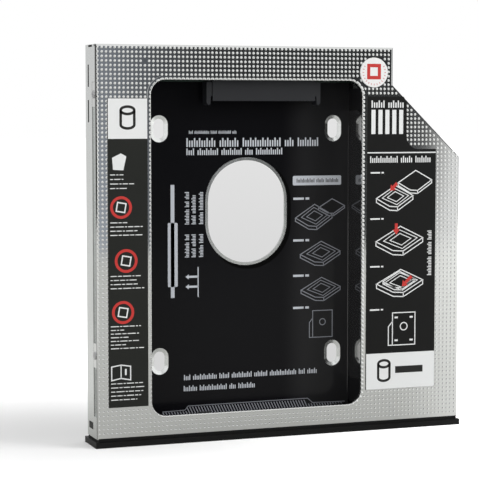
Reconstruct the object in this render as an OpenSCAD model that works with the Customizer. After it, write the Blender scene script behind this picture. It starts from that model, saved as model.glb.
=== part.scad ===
// Laptop drive caddy, 12.7 mm class, standing on its front bezel as an open tray seen through its window.
// X runs across the caddy, Y from the window side (-) to the floor side (+), Z from the bezel to the plugs.
// Inside the case modules, z = 0 is the lower edge of the metal case and depth 0 is its window side.

/* [Case] */
// Width of the wide part of the case
case_w = 128; // [120:0.5:134]
// Length of the metal case, without the bezel
case_l = 126.1; // [124:0.1:134]
// Thickness of the case
case_t = 12.7; // [12.2:0.1:14]
// Width of the narrow part at the plug end
narrow_w = 103; // [98:0.5:106]
// Distance from the plug end to the lower end of the chamfer
chamfer_end = 36.7; // [34:0.1:55]
// Distance from the plug end to the upper end of the chamfer
notch_end = 12.6; // [11:0.1:18]
// Thickness of the folded sheet
sheet_t = 0.6; // [0.5:0.05:0.8]
// Thickness of the tray floor
floor_t = 0.8; // [0.6:0.05:1]
// Outer radius of the folds
bend_r = 0.6; // [0.5:0.05:0.6]
// Width taken off the edge along the chamfer, which is pressed flat instead of folded round
edge_cut = 0.35; // [0.2:0.05:0.45]
// Depth of the cover's rim
rim_d = 1.2; // [1.1:0.1:1.6]
// Seam between the cover and the tray
seam = 0.1; // [0.05:0.01:0.2]

/* [Side recess and tabs] */
// Depth to which the side recess reaches
recess_d = 4.6; // [4:0.1:5.5]
// Height at which the recess begins
recess_z = 7; // [6:0.1:9]
// Distance from the left recess's upper end to the plug end
recess_end_left = 11.9; // [8:0.1:16]
// Distance from the right recess's upper end to the chamfer
recess_end_right = 6.5; // [4:0.1:10]
// Length of a cover tab
tab_l = 7.8; // [6:0.1:10]
// Depth to which a cover tab reaches
tab_d = 4.4; // [3.8:0.1:4.5]
// Height of the lower pair of tabs
tab_z = 23; // [20:0.5:30]
// Length of a slit in the side wall
slit_l = 7.1; // [5:0.1:8]
// Width of a slit
slit_w = 0.6; // [0.4:0.1:1]
// Depth of the slits below the window side
slit_d = 8.6; // [7:0.1:9.5]
// Distance from the upper slit to the plug end
slit_end = 6.3; // [4:0.1:9]
// Gap between the two slits
slit_gap = 4.2; // [3:0.1:6]

/* [Window] */
// Distance from the case's left side to the window
window_left = 17.9; // [17:0.1:20]
// Lower edge of the window
window_z = 6.4; // [5:0.1:8]
// Distance from the window to the narrow part's right side
window_right = 11.1; // [10.5:0.1:13]
// Distance from the window to the plug end
window_end = 10.9; // [9.7:0.1:13]
// Corner radius of the window
window_r = 5; // [2:0.5:8]
// Width of the smooth lip round the window
lip_w = 1.0; // [0.6:0.1:1.2]
// Height of the lip above the face
lip_h = 0.2; // [0.1:0.05:0.25]
// Depth of the lip's turned-in edge
lip_d = 1.0; // [0.8:0.1:1.4]

/* [Drive] */
// Distance from the middle of the window to the middle of the drive
bay_off = 0.5; // [-0.5:0.1:1]
// Distance from the drive's plug end to the plug end of the case
drive_end = 12.9; // [12.5:0.1:14]
// Width by which the window is wider than the drive
drive_play = 4.15; // [3:0.01:5]
// Distance from the drive's sides to its screws
screw_in = 4.065; // [3.5:0.005:5]
// Height of the drive's rear end above the case's lower edge
drive_rear = 13.2; // [12:0.1:15]
// Distance from the drive's rear end to its rear screws
screw_rear = 9.4; // [9:0.1:11]
// Distance from the plug end to the first screws
screw_z = 14; // [12:0.1:15]
// Width of a screw slot
slot_w = 3.6; // [3:0.1:4]
// Straight length of a screw slot between its end centres
slot_l = 2.9; // [2:0.1:4]
// Width of the dished rim on each side of a slot
dish_w = 1.15; // [0.8:0.05:1.4]
// Width of the round-ended hole in the floor
eye_w = 27.1; // [20:0.1:30]
// Straight length of that hole between its end centres
eye_l = 7; // [3:0.1:12]
// Distance from the middle of the drive to that hole's centre
eye_off = -0.4; // [-3:0.1:3]
// Distance from the drive's plug end down to that hole's centre
eye_end = 41.6; // [38:0.1:48]

/* [Film] */
// Thickness of the antistatic film
film_t = 0.15; // [0.12:0.01:0.25]
// Width of the metal border that the film leaves bare round the large hole
film_gap = 1.0; // [0.6:0.1:1.6]
// Lower edge of the film
film_z = 2.4; // [1.5:0.1:4]
// Distance from the film's upper edge to the plug end
film_end = 7.9; // [7.7:0.1:10]
// Lower end of the film's upright flap
flap_z = 14.2; // [12:0.1:20]
// Distance from the flap's upper end to the plug end
flap_end = 20.9; // [18:0.1:26]
// Corner radius of the flap
flap_r = 3; // [1:0.5:5]

/* [Bay rails] */
// Thickness of a rail's upright web
rail_t = 1.6; // [1.2:0.1:2]
// Lower end of the rails
rail_z = 6.0; // [4:0.1:8]
// Distance from the rails' upper end to the plug end
rail_end = 13.6; // [13:0.1:18]
// Width of a rail's foot
foot_w = 5; // [4.6:0.1:7]
// Thickness of a rail's foot
foot_t = 1.5; // [1.2:0.1:2]
// Thickness of a rail's ribs
rib_t = 1; // [0.8:0.1:1.5]
// Gap between a rail and the window's edge
rail_gap = 0.3; // [0.25:0.01:0.4]

/* [Board] */
// Thickness of the circuit board
board_t = 1; // [0.8:0.1:1.6]
// Distance from the board's component side to the tray's floor
board_lift = 3.9; // [3.3:0.1:4.3]
// Distance from the board to the plug end
board_end = 1; // [0.8:0.1:1.4]
// Height of the board, bottom edge to top edge
board_h = 10.6; // [10:0.1:10.7]
// Distance from the case's left side to the board
board_left = 6; // [4:0.5:8]
// Distance from the board to the narrow part's right side
board_right = 3; // [2:0.5:6]
// Outer radius of a board spacer
spacer_r = 2; // [1.8:0.1:2.2]

/* [Drive connector] */
// Distance from the middle of the drive to the middle of its connector
plug_off = 3.4; // [2:0.1:4.5]
// Width of the connector's block
plug_w = 36.1; // [34:0.1:38]
// Thickness of the block, front to back
plug_t = 5; // [4.6:0.1:5.4]
// Distance that the block enters the drive
plug_in = 4.9; // [4:0.1:6]
// Width of a guide arm with its gap
arm_w = 2; // [1.6:0.1:2.4]
// Distance that the arms stand out below the block
arm_out = 1.4; // [1:0.1:2]
// Width of a contact
contact_w = 0.5; // [0.4:0.05:0.6]
// Thickness of a contact
contact_t = 0.25; // [0.15:0.05:0.3]
// Depth of the contact slots below the connector's face
slot_in = 4.8; // [4:0.1:5]

/* [Laptop connector] */
// Distance from the laptop connector's middle to the narrow part's right side
host_right = 23; // [19:0.5:26]
// Width of the laptop connector
host_w = 25; // [24:0.1:28]
// Thickness of the laptop connector, front to back
host_t = 4.4; // [4.2:0.1:5]
// Length of the laptop connector along the caddy
host_l = 9.5; // [9:0.1:9.6]

/* [Channel switch] */
// Distance from the case's left side to the switch's middle
switch_left = 26; // [20:0.5:30]
// Width of the switch housing
switch_w = 8.6; // [8:0.1:10]
// Thickness of the housing, front to back
switch_t = 3.6; // [3.4:0.1:4]
// Length of the housing along the caddy
switch_l = 3.7; // [3.6:0.1:4]
// Travel of the switch knob
travel = 2; // [1.5:0.1:2.5]
// Side of the knob's square stem
stem = 1.5; // [1.2:0.1:1.8]

/* [Bezel] */
// Distance by which the bezel's plate passes each side of the case
bezel_over = 0.7; // [0:0.1:1.5]
// Distance by which the plate passes each face of the case
bezel_lip = 0.5; // [0.1:0.1:1]
// Thickness of the outer plate
plate_t = 1.9; // [1.4:0.1:2.4]
// Thickness of the stepped rim between plate and case
step_t = 0.8; // [0.5:0.1:1.2]
// Inset of the stepped rim from the case's sides
step_in = 0.3; // [0.1:0.1:0.8]
// Width of a bezel clip
clip_w = 4.4; // [3:0.1:5]
// Height to which a bezel clip reaches inside the case
clip_h = 6; // [5:0.1:7]

/* [Labels] */
// Thickness of the printed labels
label_t = 0.3; // [0.25:0.01:0.35]
// Distance from the case's left side to the left label
left_label_in = 3.75; // [3:0.05:6]
// Lower edge of the left label
left_label_z = 10.2; // [8:0.1:14]
// Distance from the left label to the plug end
left_label_end = 17.1; // [14:0.1:24]
// Gap between the window's lip and the right label
right_label_gap = 0.6; // [0.2:0.1:2]
// Distance from the right label to the case's right side
right_label_in = 9; // [7:0.1:12]
// Width of the right label's narrow part
right_label_neck = 14.5; // [12:0.1:16]
// Lower edge of the right label
right_label_z = 11.1; // [8:0.1:14]
// Distance from the right label to the plug end
right_label_end = 16.3; // [15:0.1:20]
// Distance from the right label's top to its shoulder
shoulder_drop = 17.6; // [14:0.1:22]
// Radius of the hollow curve at that shoulder
shoulder_r = 4.4; // [3:0.1:6]
// Radius of the round sticker
sticker_r = 4.95; // [4:0.05:5.5]

/* [Hidden] */
$fn = 48;

aluminium = [0.78, 0.80, 0.80];
steel = [0.62, 0.62, 0.64];
dark_plastic = [0.12, 0.12, 0.13];
gold = [0.85, 0.68, 0.30];

front_y = -case_t / 2;
case_z = plate_t + step_t;
left_x = -case_w / 2;
slip = 0.05;
narrow_x = narrow_w - case_w / 2;
wide_l = case_l - chamfer_end;
notch_l = case_l - notch_end;
chamfer_w = case_w / 2 - narrow_x;
chamfer_h = notch_l - wide_l;
chamfer_run = norm([chamfer_w, chamfer_h]);
floor_d = case_t - floor_t;
film_d = floor_d - film_t;
window_x = left_x + window_left;
window_w = narrow_w - window_left - window_right;
window_l = case_l - window_z - window_end;
window_x1 = window_x + window_w;
drive_z = case_l - drive_end;
bay_x = window_x + window_w / 2 + bay_off;
screw_dx = window_w - drive_play - 2 * screw_in;
screw_dz = drive_z - drive_rear - screw_z - screw_rear;
plug_x = bay_x + plug_off;
pitch = plug_w / 28.4;
host_x = narrow_x - host_right;
host_pitch = host_w / 25;
switch_x = left_x + switch_left;
eye_x = bay_x + eye_off;
eye_z = drive_z - eye_end;
film_top = case_l - film_end;
flap_top = case_l - flap_end;
rail_top = case_l - rail_end;
board_d = floor_d - board_lift;
board_z = case_l - board_end - board_h;
board_x = left_x + board_left;
board_w = narrow_w - board_left - board_right;
left_label_w = window_left - left_label_in - lip_w - slip;
left_label_top = case_l - left_label_end;
right_label_x = window_x1 + lip_w + right_label_gap;
right_label_w = case_w / 2 - right_label_in - right_label_x;
right_label_top = case_l - right_label_end;
screw_r = 0.8;
head_r = 1.6;
head_t = 0.8;

// Height of the chamfer line, moved inwards by inset, at the place x
function chamfer_z(x, inset) =
    wide_l + (chamfer_h * (case_w / 2 - x) - inset * chamfer_run) / chamfer_w;

// Corners of the case seen from the window side, moved inwards by inset, clockwise from the lower left
function case_corners(inset) = [
    [-case_w / 2 + inset, inset],
    [-case_w / 2 + inset, case_l - inset],
    [narrow_x - inset, case_l - inset],
    [narrow_x - inset, chamfer_z(narrow_x - inset, inset)],
    [case_w / 2 - inset, chamfer_z(case_w / 2 - inset, inset)],
    [case_w / 2 - inset, inset]
];

// Centres of the four screw slots of the drive
slot_centres = [for (sx = [-1, 1], k = [0, 1]) [bay_x + sx * screw_dx / 2, drive_z - screw_z - k * screw_dz]];

// Lifts what is drawn in case heights onto the bezel
module on_bezel() { translate([0, 0, case_z]) children(); }

// Turns a flat drawing in X and Z into a slab between two depths below the window side
module slab(d0, d1) {
    translate([0, front_y + d1, 0]) rotate([90, 0, 0]) linear_extrude(d1 - d0) children();
}

// Box between two corners, each given as place across, depth and height
module block(a, b) { translate([a.x, front_y + a.y, a.z]) cube(b - a); }

// Cylinder along the depth at a place across and a height
module pin(x, z, d0, d1, r) {
    translate([x, front_y + d0, z]) rotate([-90, 0, 0]) cylinder(h = d1 - d0, r = r);
}

module rounded_rect(x0, z0, x1, z1, r) {
    translate([x0 + r, z0]) square([x1 - x0 - 2 * r, z1 - z0]);
    translate([x0, z0 + r]) square([x1 - x0, z1 - z0 - 2 * r]);
    for (x = [x0 + r, x1 - r], z = [z0 + r, z1 - r]) translate([x, z]) circle(r);
}

// Round-ended slot standing upright, with its straight length between the end centres
module round_slot(w, straight) {
    square([w, straight], center = true);
    for (s = [-1, 1]) translate([0, s * straight / 2]) circle(w / 2);
}

// What a fold takes off one edge of a sharp box: a square corner less a quarter circle
module fold_waste() {
    difference() {
        translate([-1, -1]) square(1 + bend_r);
        translate([bend_r, bend_r]) circle(bend_r);
    }
}

// What the flat edge along the chamfer loses
module edge_waste() {
    polygon([[-1, -1], [edge_cut + 1, -1], [-1, edge_cut + 1]]);
}

// The one corner of the case that turns inwards, where the folds of both neighbours end
hollow_corner = 3;

// The closed case as one solid, with rounded folds along the edges of both faces
module case_solid() difference() {
    slab(0, case_t) polygon(case_corners(0));
    corners = case_corners(0);
    for (i = [0 : len(corners) - 1]) {
        j = (i + 1) % len(corners);
        run = corners[j] - corners[i];
        before = i == hollow_corner ? 0 : 1;
        after = j == hollow_corner ? 0 : 1;
        translate([corners[i].x, 0, corners[i].y]) rotate([0, atan2(run.x, run.y), 0])
            for (face = [-1, 1]) scale([1, -face, 1]) translate([0, front_y, -before])
                linear_extrude(norm(run) + before + after)
                    if (i == hollow_corner) edge_waste(); else fold_waste();
    }
}

// Upper ends of the side recesses: the left wall runs the whole length, the right one to the chamfer
function recess_top(side) = side < 0 ? case_l - recess_end_left : wide_l - recess_end_right;

// Lower edges of the two tabs on one side
function tab_places(side) = [tab_z, recess_top(side) - seam - tab_l];

// Band along a side wall between two distances inwards from its outer face
module side_band(side, in0, in1, d0, d1, z0, z1) {
    x = side * (case_w / 2 - (in0 + in1) / 2);
    block([x - (in1 - in0) / 2, d0, z0], [x + (in1 - in0) / 2, d1, z1]);
}

module dished_slot_cut() {
    slab(floor_d - 1, case_t + 1) round_slot(slot_w, slot_l);
    dish_t = floor_t / 2;
    wide = slot_w / 2 + dish_w;
    for (s = [-1, 1])
        translate([0, front_y + floor_d, s * slot_l / 2]) rotate([-90, 0, 0])
            cylinder(h = dish_t, r1 = wide, r2 = slot_w / 2);
    translate([0, front_y + floor_d, 0]) linear_extrude(slot_l, center = true)
        polygon([[-wide, 0], [wide, 0], [slot_w / 2, dish_t], [-slot_w / 2, dish_t]]);
    translate([0, front_y + floor_d - 0.5, 0]) rotate([-90, 0, 0])
        linear_extrude(0.5) round_slot(2 * wide, slot_l);
}

// Places of the screws that hold a rail's foot, as heights, clear of its ribs
rail_screw_z = [rail_z + 8, (rail_z + rail_top) / 2 + 7, rail_top - 8];

// Place across of a rail's bay side, and of its foot's screws
function rail_face(side) = side < 0 ? window_x - rail_gap : window_x1 + rail_gap;
function rail_screw_x(side) = rail_face(side) + side * (rail_t + foot_w / 2);

// Places of the board's screws
board_screw_at = [for (x = [board_x + 4, (board_x + plug_x) / 2 + 6, board_x + board_w - 3.5])
    [x, board_z + board_h - 4.4]];

// Openings in the plug end of the tray
module plug_end_cuts() {
    block([host_x - host_w / 2 - slip, board_d - host_t - slip, case_l - sheet_t - 1],
        [host_x + host_w / 2 + slip, board_d + slip, case_l + 1]);
    reach = (stem + travel) / 2 + 0.8;
    block([switch_x - reach, board_d - switch_t / 2 - stem, case_l - sheet_t - 1],
        [switch_x + reach, board_d - switch_t / 2 + stem, case_l + 1]);
}

// Depth range of the side clips, and windows in the tray for all clips
clip_d = case_t - 7;
clip_t = 1;
clip_x = [-3 / 16 * case_w, 3 / 16 * case_w];
clip_play = 0.2;
floor_clip_h = clip_h - 1;

// Window that a clip's nose enters, and the slot in the front wall that the clip passes, both drawn as
// distance from the outer face and height
module clip_cuts(wall, h) {
    translate([-1, h - 3.2 - clip_play]) square([wall + 2, 1.8 + 2 * clip_play]);
    translate([wall, -1]) square([clip_t + 2 * clip_play, sheet_t + 2]);
}

// Stands a drawing of distance and height on a side wall, over the width of a clip with some play
module at_side(side, play) {
    translate([side * case_w / 2, front_y + clip_d + clip_w + play, 0])
        rotate([90, 0, 0]) linear_extrude(clip_w + 2 * play) scale([-side, 1]) children();
}

module at_floor(x, play) {
    translate([x - clip_w / 2 - play, case_t / 2, 0])
        rotate([90, 0, 90]) linear_extrude(clip_w + 2 * play) scale([-1, 1]) children();
}

module clip_windows() {
    for (side = [-1, 1]) at_side(side, clip_play) clip_cuts(sheet_t, clip_h);
    for (x = clip_x) at_floor(x, clip_play) clip_cuts(floor_t, floor_clip_h);
}

module base_tray() color(aluminium) on_bezel() difference() {
    union() {
        difference() {
            case_solid();
            slab(-1, rim_d + seam) square(4 * case_w, center = true);
            slab(0, floor_d) polygon(case_corners(sheet_t));
            for (side = [-1, 1])
                side_band(side, -1, sheet_t + seam / 2, -1, recess_d, recess_z, recess_top(side));
        }
        for (side = [-1, 1]) {
            side_band(side, sheet_t + seam / 2, 2 * sheet_t, sheet_t + seam / 2, recess_d + sheet_t,
                recess_z - sheet_t, recess_top(side) + sheet_t);
            side_band(side, sheet_t / 2, 2 * sheet_t, recess_d, recess_d + sheet_t,
                recess_z - sheet_t, recess_top(side) + sheet_t);
        }
    }
    for (c = slot_centres) translate([c.x, 0, c.y]) dished_slot_cut();
    slab(floor_d - 1, case_t + 1) translate([eye_x, eye_z]) round_slot(eye_w, eye_l);
    tapped_r = screw_r + slip / 2;
    for (side = [-1, 1], z = rail_screw_z) pin(rail_screw_x(side), z, floor_d - 1, case_t + 1, tapped_r);
    for (at = board_screw_at) pin(at.x, at.y, floor_d - 1, case_t + 1, tapped_r);
    for (side = [-1, 1], z = tab_places(side)) tab_hole(side, z + tab_l / 2, tapped_r);
    for (k = [0, 1]) {
        z = case_l - slit_end - slit_l - k * (slit_l + slit_gap);
        side_band(-1, -1, sheet_t + 1, slit_d, slit_d + slit_w, z, z + slit_l);
    }
    plug_end_cuts();
    clip_windows();
}

// Hole across a side wall at the middle of a tab
module tab_hole(side, z, r) {
    x = side * case_w / 2;
    translate([x - 3, front_y + (rim_d + tab_d) / 2, z]) rotate([0, 90, 0]) cylinder(h = 6, r = r);
}

module window_outline(grow) {
    rounded_rect(window_x - grow, window_z - grow, window_x1 + grow, window_z + window_l + grow,
        window_r + grow);
}

module top_cover() color(aluminium) on_bezel() difference() {
    union() {
        difference() {
            case_solid();
            slab(rim_d, case_t + 1) square(4 * case_w, center = true);
            slab(sheet_t, case_t) polygon(case_corners(sheet_t));
        }
        slab(-lip_h, lip_d) window_outline(lip_w);
        for (side = [-1, 1], z = tab_places(side))
            side_band(side, 0, sheet_t, bend_r, tab_d, z, z + tab_l);
    }
    slab(-1, lip_d + 1) window_outline(0);
    for (side = [-1, 1], z = tab_places(side)) tab_hole(side, z + tab_l / 2, screw_r + slip);
}

module cover_screws() color(steel) on_bezel() for (side = [-1, 1], z = tab_places(side)) {
    x = side * case_w / 2;
    translate([x, front_y + (rim_d + tab_d) / 2, z + tab_l / 2]) rotate([0, side * 90, 0]) {
        translate([0, 0, -2 * sheet_t - 0.6]) cylinder(h = 2 * sheet_t + 0.6, r = screw_r);
        difference() {
            cylinder(h = 0.3, r = screw_r + 0.5);
            for (a = [0, 90]) rotate([0, 0, a]) translate([-0.8, -0.12, 0.12]) cube([1.6, 0.24, 1]);
        }
    }
}

// Floor part with its cut-outs, and the flap that stands up along the right rail
module antistatic_film() color(dark_plastic) on_bezel() {
    difference() {
        slab(film_d, floor_d) translate([rail_face(-1) + slip, film_z])
            square([rail_face(1) - rail_face(-1) - 2 * slip, film_top - film_z]);
        for (c = slot_centres)
            slab(film_d - 1, floor_d + 1) translate([c.x, c.y]) round_slot(slot_w + 2 * dish_w + 0.1, slot_l);
        slab(film_d - 1, floor_d + 1) translate([eye_x, eye_z]) round_slot(eye_w + 2 * film_gap, eye_l);
        for (x = clip_x)
            at_floor(x, 1.5 * clip_play) square([2 * floor_t + film_t, floor_clip_h + clip_play]);
    }
    x = rail_face(1) - slip - film_t;
    flap_d = sheet_t + lip_d;
    translate([x, front_y, 0]) rotate([90, 0, 90]) linear_extrude(film_t)
        difference() {
            translate([flap_d, flap_z]) square([film_d + film_t / 2 - flap_d, flap_top - flap_z]);
            for (end = [[flap_z, 1], [flap_top, -1]]) translate([flap_d, end[0]])
                scale([1, end[1]]) difference() {
                    translate([-1, -1]) square(flap_r + 1);
                    translate([flap_r, flap_r]) circle(flap_r);
                }
        }
}

// Moulded L rail: an upright web, a foot screwed to the floor, and triangular ribs outside the bay
module bay_rail(side) {
    x = rail_face(side);
    far = x + side * (rail_t + foot_w);
    top_d = lip_d + slip;
    difference() {
        union() {
            block([min(x, x + side * rail_t), top_d, rail_z], [max(x, x + side * rail_t), floor_d, rail_top]);
            block([min(x, far), floor_d - foot_t, rail_z], [max(x, far), floor_d, rail_top]);
            for (k = [0 : 4]) {
                z = rail_z + 1 + k * (rail_top - rail_z - 2 - rib_t) / 4;
                translate([x + side * rail_t, front_y, z]) linear_extrude(rib_t)
                    polygon([[0, 2.5], [0, floor_d - foot_t], [side * foot_w, floor_d - foot_t]]);
            }
        }
        for (z = rail_screw_z) pin(rail_screw_x(side), z, floor_d - foot_t - 1, floor_d + 1, screw_r + slip);
    }
}

module bay_rail_left() color(dark_plastic) on_bezel() bay_rail(-1);

module bay_rail_right() color(dark_plastic) on_bezel() bay_rail(1);

// Pan-head screw along the depth, with a cross recess; its head lies on the depth seat
module pan_screw(x, z, seat, tip) {
    difference() {
        union() {
            pin(x, z, seat - head_t, seat, head_r);
            pin(x, z, seat, tip, screw_r);
        }
        slab(seat - head_t - 1, seat - head_t / 2) translate([x, z]) {
            square([1.8, 0.35], center = true);
            square([0.35, 1.8], center = true);
        }
    }
}

module rail_screws() color(steel) on_bezel() for (side = [-1, 1], z = rail_screw_z)
    pan_screw(rail_screw_x(side), z, floor_d - foot_t, case_t - 0.1);

module circuit_board() color([0.05, 0.09, 0.07]) on_bezel() difference() {
    block([board_x, board_d, board_z], [board_x + board_w, board_d + board_t, board_z + board_h]);
    for (at = board_screw_at) pin(at.x, at.y, board_d - 1, board_d + board_t + 1, screw_r + slip);
}

module board_spacers() color(gold) on_bezel() for (at = board_screw_at) difference() {
    pin(at.x, at.y, board_d + board_t, floor_d, spacer_r);
    pin(at.x, at.y, board_d, floor_d + 1, screw_r + slip);
}

module board_screws() color(steel) on_bezel() for (at = board_screw_at)
    pan_screw(at.x, at.y, board_d, case_t - 0.1);

// Slots of the drive connector: centre offset, contacts and the first contact's place
plug_face = drive_z - plug_in;
plug_d = board_d - 3.1;
slot_d = plug_d + 1.5;
signal_x = plug_x - plug_w / 2 + 2.4;
power_x = signal_x + 8 * pitch + 2.2;
plug_slots = [[signal_x, 7], [power_x, 15]];

module drive_connector() color(dark_plastic) on_bezel() {
    difference() {
        union() {
            left = plug_x - plug_w / 2;
            block([left, plug_d, plug_face], [left + plug_w, plug_d + plug_t, board_z - slip]);
            block([left, plug_d, board_z - 1], [left + plug_w, board_d, board_z + 1.8]);
        }
        for (s = plug_slots) {
            left = s[0] - pitch;
            block([left, slot_d, plug_face - 1], [s[0] + s[1] * pitch, slot_d + 1.4, plug_face + slot_in]);
            block([left, slot_d, plug_face - 1], [left + 0.9, slot_d + 2.1, plug_face + slot_in]);
        }
    }
    for (s = [-1, 1]) translate([plug_x + s * plug_w / 2, 0, 0]) slab(plug_d + 0.4, plug_d + plug_t - 0.4)
        polygon([[0, board_z - slip], [s * arm_w, board_z - slip], [s * arm_w, plug_face - arm_out + 0.8],
            [s * (arm_w - 0.7), plug_face - arm_out], [s * 0.7, plug_face - arm_out + 0.3],
            [s * 0.5, plug_face + 1.6], [0, plug_face + 1.6]]);
}

module drive_contacts() color(gold) on_bezel() for (s = plug_slots, k = [0 : s[1] - 1]) {
    x = s[0] + k * pitch;
    block([x - contact_w / 2, slot_d, plug_face + 2 * contact_t],
        [x + contact_w / 2, slot_d + contact_t, plug_face + slot_in]);
}

host_z = case_l - 0.1 - host_l;
host_d = board_d - host_t;
tongues = [[host_x - host_w / 2 + 2.2, 7], [host_x + host_w / 2 - 2.2 - 6 * host_pitch - 1.6, 6]];
tongue_d = host_d + host_t / 2;

module laptop_connector() color(dark_plastic) on_bezel() {
    difference() {
        block([host_x - host_w / 2, host_d, host_z], [host_x + host_w / 2, board_d, host_z + host_l]);
        block([host_x - host_w / 2 + 0.9, host_d + 0.8, host_z + 3.5],
            [host_x + host_w / 2 - 0.9, board_d - 0.8, host_z + host_l + 1]);
    }
    for (t = tongues) {
        right = t[0] + t[1] * host_pitch + 1.6;
        block([t[0], tongue_d - 0.5, host_z + 3.4], [right, tongue_d + 0.5, host_z + host_l - 1]);
    }
}

module laptop_contacts() color(gold) on_bezel() for (t = tongues, k = [0 : t[1] - 1]) {
    x = t[0] + 0.8 + (k + 0.5) * host_pitch;
    block([x - contact_w / 2, tongue_d - 0.5 - contact_t / 2, host_z + 3.6],
        [x + contact_w / 2, tongue_d - 0.5, host_z + host_l - 1.3]);
}

// The switch: a housing with a carriage inside, whose stem reaches the plug end through two slots
switch_z = case_l - sheet_t - 0.4 - switch_l;
pin_pitch = switch_w * 0.295;
switch_mid = board_d - switch_t / 2;
carriage = [2.6, 2, 2.2];
run_gap = 0.08;

module switch_housing() color(steel) on_bezel() difference() {
    block([switch_x - switch_w / 2, board_d - switch_t, switch_z],
        [switch_x + switch_w / 2, board_d, switch_z + switch_l]);
    half = (carriage.x + travel) / 2 + 0.2;
    block([switch_x - half, switch_mid - carriage.y / 2 - run_gap, switch_z + 0.6 - run_gap],
        [switch_x + half, switch_mid + carriage.y / 2 + run_gap, switch_z + 0.6 + carriage.z + run_gap]);
    open = (stem + travel) / 2 + 0.2;
    block([switch_x - open, switch_mid - stem / 2 - run_gap, switch_z + 1],
        [switch_x + open, switch_mid + stem / 2 + run_gap, switch_z + switch_l + 1]);
}

// Knob at rest at the left end of its travel
module switch_knob() color([0.92, 0.92, 0.90]) on_bezel() {
    x = switch_x - travel / 2;
    block([x - carriage.x / 2, switch_mid - carriage.y / 2, switch_z + 0.6],
        [x + carriage.x / 2, switch_mid + carriage.y / 2, switch_z + 0.6 + carriage.z]);
    block([x - stem / 2, switch_mid - stem / 2, switch_z + 1],
        [x + stem / 2, switch_mid + stem / 2, case_l - 0.1]);
}

module switch_pins() color(steel) on_bezel() for (k = [-1, 0, 1])
    block([switch_x + pin_pitch * k - contact_w / 2, board_d - 0.3, switch_z - 1.6],
        [switch_x + pin_pitch * k + contact_w / 2, board_d, switch_z]);

// Sizes of the small parts, across the caddy, front to back and along it
capacitor = [2, 0.9, 1.2];
resistor = [0.8, 0.5, 1.2];

module board_capacitors() color([0.66, 0.55, 0.40]) on_bezel() for (k = [0 : 4]) {
    x = board_x + 9.5 + 1.6 * capacitor.x * k;
    block([x, board_d - capacitor.y, board_z + 1.4], [x + capacitor.x, board_d, board_z + 1.4 + capacitor.z]);
}

module board_resistors() color([0.10, 0.10, 0.11]) on_bezel() for (k = [0 : 3]) {
    x = plug_x + plug_w / 2 + 4 + 3.5 * resistor.x * k;
    block([x, board_d - resistor.y, board_z + 0.4], [x + resistor.x, board_d, board_z + 0.4 + resistor.z]);
}

module activity_light() color([0.55, 0.85, 0.60]) on_bezel()
    block([board_x + 1.5, board_d - 0.7, board_z + 1.4], [board_x + 3.1, board_d, board_z + 2.2]);

// Clip standing up from the bezel; the drawing is in distance from the outer face and height
module clip_profile(wall, h) {
    near = wall + slip;
    polygon([[near, -0.5], [near + clip_t, -0.5], [near + clip_t, h], [near + 0.3, h], [near, h - 0.5],
        [near, h - 1.4], [0, h - 1.9], [0, h - 3.2], [near, h - 3.2]]);
}

// The button's outline, the pinhole and the light's place, measured from the case's right side
button = [15, 4.8];
button_x = case_w / 2 - 28.5;
pinhole_x = case_w / 2 - 14;
light_x = case_w / 2 - 42;

module bezel() color(dark_plastic) {
    difference() {
        union() {
            translate([0, 0, plate_t / 2])
                cube([case_w + 2 * bezel_over, case_t + 2 * bezel_lip, plate_t], center = true);
            translate([0, 0, case_z / 2])
                cube([case_w - 2 * step_in, case_t - 2 * step_in, case_z], center = true);
            on_bezel() {
                for (side = [-1, 1]) at_side(side, 0) clip_profile(sheet_t, clip_h);
                for (x = clip_x) at_floor(x, 0) clip_profile(floor_t, floor_clip_h);
            }
        }
        translate([button_x, 0, -1]) linear_extrude(1.3) difference() {
            square(button, center = true);
            square([button.x - 0.8, button.y - 0.8], center = true);
        }
        translate([pinhole_x, 0, -1]) cylinder(h = case_z + 2, r = 0.7);
        translate([light_x, 0, -1]) cylinder(h = 1.6, r = 1);
    }
}

module left_label() color([0.17, 0.17, 0.16]) on_bezel() slab(-label_t, 0)
    translate([window_x - lip_w - slip - left_label_w, left_label_z])
        square([left_label_w, left_label_top - left_label_z]);

// Narrow neck with a cut corner above a wide part, joined by a hollow quarter round
module right_label() color([0.15, 0.15, 0.15]) on_bezel() slab(-label_t, 0)
    translate([right_label_x, 0]) difference() {
        translate([0, right_label_z]) square([right_label_w, right_label_top - right_label_z]);
        shoulder = right_label_top - shoulder_drop;
        translate([right_label_neck + shoulder_r, shoulder]) square([case_w, 2 * shoulder_drop]);
        translate([right_label_neck, shoulder + shoulder_r]) square([case_w, 2 * shoulder_drop]);
        translate([right_label_neck + shoulder_r, shoulder + shoulder_r]) circle(shoulder_r);
        translate([right_label_neck, right_label_top])
            polygon([[-1.2, 1], [1, 1], [1, -2.7], [0, -1.7], [-1.2, 0]]);
    }

module round_sticker() color([0.94, 0.94, 0.94]) on_bezel()
    pin(window_x1 + lip_w + sticker_r - 1.9, right_label_top + 8, -label_t, 0, sticker_r);

base_tray();
top_cover();
antistatic_film();
bay_rail_left();
bay_rail_right();
rail_screws();
cover_screws();
circuit_board();
board_spacers();
board_screws();
drive_connector();
drive_contacts();
laptop_connector();
laptop_contacts();
switch_housing();
switch_knob();
switch_pins();
board_capacitors();
board_resistors();
activity_light();
bezel();
left_label();
right_label();
round_sticker();
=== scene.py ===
# %% [markdown]
# # A laptop drive caddy, dressed for its photograph
# The caddy is a flat aluminium case with a window, a black bezel that it stands on, and a black
# glossy film inside. Its solids come ready made and in place. This notebook adds what sheet metal,
# ink and plastic look like: thousands of pressed dots, printed stickers, and the light they stand in.
# %% Load the solids and measure them
import math

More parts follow.
